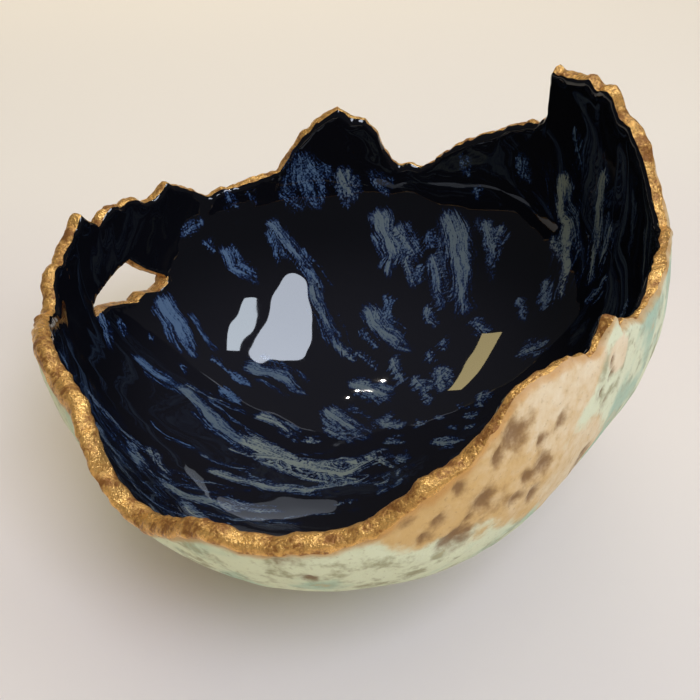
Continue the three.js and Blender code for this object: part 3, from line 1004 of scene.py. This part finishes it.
def slip_material(colours):
    """Thick slip, dabbed on and fired to a dry, chalky skin: pale green and cream in soft patches, stained
    orange brown under the gold, with bare brown clay in its pits."""
    material, tree, shader = fresh_material("crawled matt slip")
    place = add(tree, "ShaderNodeTexCoord").outputs["Object"]
    cream, tan, pit, below = (
        add(tree, "ShaderNodeAttribute", {"attribute_name": name}).outputs["Fac"]
        for name in ("cream", "tan", "near_pit", "past_gold")
    )
    # Stains about 30, 9 and 5 mm across and a grain of 1.8 mm: size in mm, detail and roughness.
    broad, blotch, smudge, grain = (
        add(tree, "ShaderNodeTexNoise", None,
            {"Vector": place, "Scale": 1000 / size, "Detail": detail, "Roughness": mottle}).outputs["Fac"]
        for size, detail, mottle in ((30, 3.0, 0.55), (9, 4.0, 0.6), (5, 3.0, 0.6), (1.8, 3.0, 0.6))
    )

    uneven = add(tree, "ShaderNodeMath", WEIGHTED_SUM, {0: broad, 1: 1.4, 2: cream}).outputs[0]
    ragged = add(tree, "ShaderNodeMath", WEIGHTED_SUM, {0: blotch, 1: 0.9, 2: uneven}).outputs[0]
    olive = laid_over(tree, colours.slip_green, colours.slip_olive, blotch, 0.48, 0.66, 0.8)
    stained = laid_over(tree, olive, colours.slip_teal, broad, 0.48, 0.64, 0.85)
    clouds = add(tree, "ShaderNodeMath", {"operation": "ADD"}, {0: blotch, 1: smudge}).outputs[0]
    tanned = add(tree, "ShaderNodeMath", WEIGHTED_SUM, {0: clouds, 1: 0.9, 2: tan}).outputs[0]
    warm = laid_over(tree, colours.slip_cream, colours.slip_tan, tanned, 0.75, 1.85)
    skin = laid_over(tree, stained, warm, ragged, 1.3, 1.65)
    halo = add(tree, "ShaderNodeMath", WEIGHTED_SUM, {0: below, 1: RIM_STAIN_FALL, 2: blotch}).outputs[0]
    rimmed = laid_over(tree, skin, colours.rim_stain, halo, -0.55, 0.45, 0.75)
    spotted = add(tree, "ShaderNodeMath", WEIGHTED_SUM, {0: smudge, 1: 1.4, 2: pit}).outputs[0]
    pitted = laid_over(tree, rimmed, colours.pit_brown, spotted, 0.8, 1.65, 0.85)
    paint = laid_over(tree, pitted, colours.pit_brown, grain, 0.58, 0.78, 0.4)
    tree.links.new(paint, shader.inputs["Base Color"])

    rough = add(tree, "ShaderNodeMath", WEIGHTED_SUM, {0: grain, 1: 0.6, 2: blotch}).outputs[0]
    bump = add(tree, "ShaderNodeBump", None, {"Strength": 0.6, "Distance": 0.0008, "Height": rough})
    tree.links.new(bump.outputs[0], shader.inputs["Normal"])
    shader.inputs["Roughness"].default_value = 0.72
    return material


class BOWL_OT_glazed_bowl(bpy.types.Operator):
    """Make the bowl: a rolled-up wall with its opening, glaze, gold and slip"""

    bl_idname = "bowl.glazed_bowl"
    bl_label = "Glazed bowl"

    def execute(self, context):
        sizes = context.scene.bowl_sizes
        colours = context.scene.bowl_colours
        tree = BVHTree.FromObject(frame["nodes"]["bowl"], context.evaluated_depsgraph_get())
        bm = rolled_sheet(sizes, tree)
        cut_opening(bm)
        mesh = bpy.data.meshes.new("glazed_bowl")
        bm.to_mesh(mesh)
        bm.free()
        paint_streaks(mesh, sizes, tree)
        paint_slip(mesh, sizes, tree)
        for material in (glaze_material(colours), gold_material(colours), slip_material(colours)):
            mesh.materials.append(material)
        piece = bpy.data.objects.new("glazed_bowl", mesh)
        context.scene.collection.objects.link(piece)
        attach(piece, "root")
        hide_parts("bowl")
        return {"FINISHED"}


def soft_light(name, place, aim, size, watts, tint, shown, shape="RECTANGLE"):
    """A flat studio light at a place, turned to a point. Shown says whether it lights matt surfaces
    ("matt") or is seen in glossy ones ("glossy")."""
    lamp = bpy.data.lights.new(name, "AREA")
    lamp.shape = shape
    lamp.size, lamp.size_y = size
    lamp.energy = watts
    lamp.color = linear(tint)
    holder = bpy.data.objects.new(name, lamp)
    holder.location = place
    holder.rotation_euler = (Vector(aim) - Vector(place)).to_track_quat("-Z", "Y").to_euler()
    holder.visible_camera = False
    holder.visible_diffuse = shown == "matt"
    holder.visible_glossy = shown == "glossy"
    bpy.context.scene.collection.objects.link(holder)
    return holder


def stage_floor(stage):
    """A wide pale floor that turns cream behind the bowl."""
    bm = bmesh.new()
    bmesh.ops.create_grid(bm, x_segments=1, y_segments=1, size=FLOOR_HALF)
    mesh = bpy.data.meshes.new("floor")
    bm.to_mesh(mesh)
    bm.free()
    material, tree, shader = fresh_material("pale matt floor")
    place = add(tree, "ShaderNodeTexCoord").outputs["Object"]
    rotation = (0, 0, math.radians(FLOOR_TURN))
    turned = add(tree, "ShaderNodeMapping", None, {"Vector": place, "Rotation": rotation})
    depth = add(tree, "ShaderNodeSeparateXYZ", None, {0: turned.outputs[0]}).outputs["Y"]
    nearer, farther = stage.line - FLOOR_FADE, stage.line + FLOOR_FADE
    paint = laid_over(tree, stage.front, stage.back, depth, nearer, farther)
    tree.links.new(paint, shader.inputs["Base Color"])
    shader.inputs["Roughness"].default_value = 0.9
    mesh.materials.append(material)
    floor = bpy.data.objects.new("floor", mesh)
    bpy.context.scene.collection.objects.link(floor)


class BOWL_OT_stage(bpy.types.Operator):
    """Make the plain pale floor, the studio lights and the camera"""

    bl_idname = "bowl.stage"
    bl_label = "Stage"

    def execute(self, context):
        stage = context.scene.bowl_stage
        stage_floor(stage)
        bowl = bpy.data.objects["glazed_bowl"]
        tree = BVHTree.FromObject(bowl, context.evaluated_depsgraph_get())
        for name, place, side, tint in STUDIO_LIGHTS:
            soft_light(name, place, LIGHTS_AIM, (side, side), getattr(stage, name), tint, "matt")
        for name, shape, pixel, distance, size, roll, watts, tint in SOFTBOXES:
            place, mirrored = mirrored_sight(tree, pixel)
            light = soft_light(name, place + mirrored * distance, place, size, watts, tint, "glossy", shape)
            light.rotation_euler.rotate_axis("Z", math.radians(roll))

        world = bpy.data.worlds.new("studio")
        world.use_nodes = True
        back = world.node_tree.nodes["Background"]
        back.inputs["Color"].default_value = rgba(linear(WORLD_TINT))
        shine = add(world.node_tree, "ShaderNodeLightPath").outputs["Is Glossy Ray"]
        glow = add(world.node_tree, "ShaderNodeMapRange", None,
                   {0: shine, 1: 0.0, 2: 1.0, 3: WORLD_GLOW, 4: WORLD_SHINE})
        world.node_tree.links.new(glow.outputs[0], back.inputs["Strength"])
        context.scene.world = world

        lens = bpy.data.cameras.new("camera")
        lens.sensor_width = SENSOR_MM
        lens.lens = SENSOR_MM * FOCAL_PIXELS / PICTURE_SIDE
        lens.clip_start = 0.01
        camera = bpy.data.objects.new("camera", lens)
        camera.location = picture_ray((PICTURE_SIDE / 2, PICTURE_SIDE / 2))[0]
        camera.rotation_euler = (math.radians(90 - CAMERA_HEIGHT_DEGREES), 0, 0)
        context.scene.collection.objects.link(camera)
        context.scene.camera = camera
        context.scene.view_settings.view_transform = "Standard"
        return {"FINISHED"}


class BOWL_PT_panel(bpy.types.Panel):
    """The bowl's sizes, colours and steps in the sidebar"""

    bl_idname = "BOWL_PT_panel"
    bl_label = "Hand-built bowl"
    bl_space_type = "VIEW_3D"
    bl_region_type = "UI"
    bl_category = "Bowl"

    def draw(self, context):
        for group in (context.scene.bowl_sizes, context.scene.bowl_colours, context.scene.bowl_stage):
            box = self.layout.box()
            for name in group.__annotations__:
                box.prop(group, name)
        for step in STEPS:
            self.layout.operator(step.bl_idname)


STEPS = (BOWL_OT_glazed_bowl, BOWL_OT_stage)
SETTINGS = {"bowl_sizes": BowlSizes, "bowl_colours": BowlColours, "bowl_stage": StageSettings}


def register():
    """Registers the settings, the steps and the panel."""
    for kind in (*SETTINGS.values(), *STEPS, BOWL_PT_panel):
        bpy.utils.register_class(kind)
    for name, kind in SETTINGS.items():
        setattr(bpy.types.Scene, name, bpy.props.PointerProperty(type=kind))


def unregister():
    """Takes the panel, the steps and the settings away again."""
    for name in SETTINGS:
        delattr(bpy.types.Scene, name)
    for kind in reversed((*SETTINGS.values(), *STEPS, BOWL_PT_panel)):
        bpy.utils.unregister_class(kind)


def main():
    """Makes the bowl and its stage."""
    register()
    bpy.ops.bowl.glazed_bowl()
    bpy.ops.bowl.stage()


if __name__ == "__main__":
    main()
